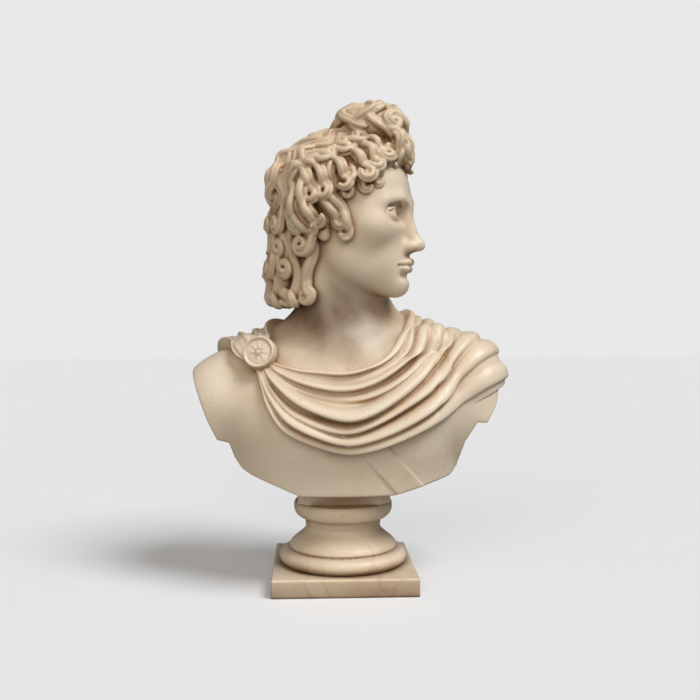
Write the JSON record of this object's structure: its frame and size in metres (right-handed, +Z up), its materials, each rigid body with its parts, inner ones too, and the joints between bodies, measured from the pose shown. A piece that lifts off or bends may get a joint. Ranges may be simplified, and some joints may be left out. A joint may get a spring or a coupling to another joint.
{
  "type": "marble bust",
  "caption": "Life-size marble bust of a youth in a cloak pinned at the shoulder, head turned, on a turned foot with a square plinth.",
  "frame": {"origin": "middle of the plinth's flat underside, where the statue stands", "axes": "+Z up, the breast facing -Y, the turned head facing +X"},
  "size_m": [0.4584, 0.24, 0.6921],
  "materials": {
    "warm_white_marble": "cream marble, waxed, tan patina in the hollows",
    "tan_stained_marble": "cream marble, waxed, stained tan and faintly veined"
  },
  "bodies": {
    "root": {"bust": "warm_white_marble", "socle": "tan_stained_marble"}
  },
  "joints": []
}
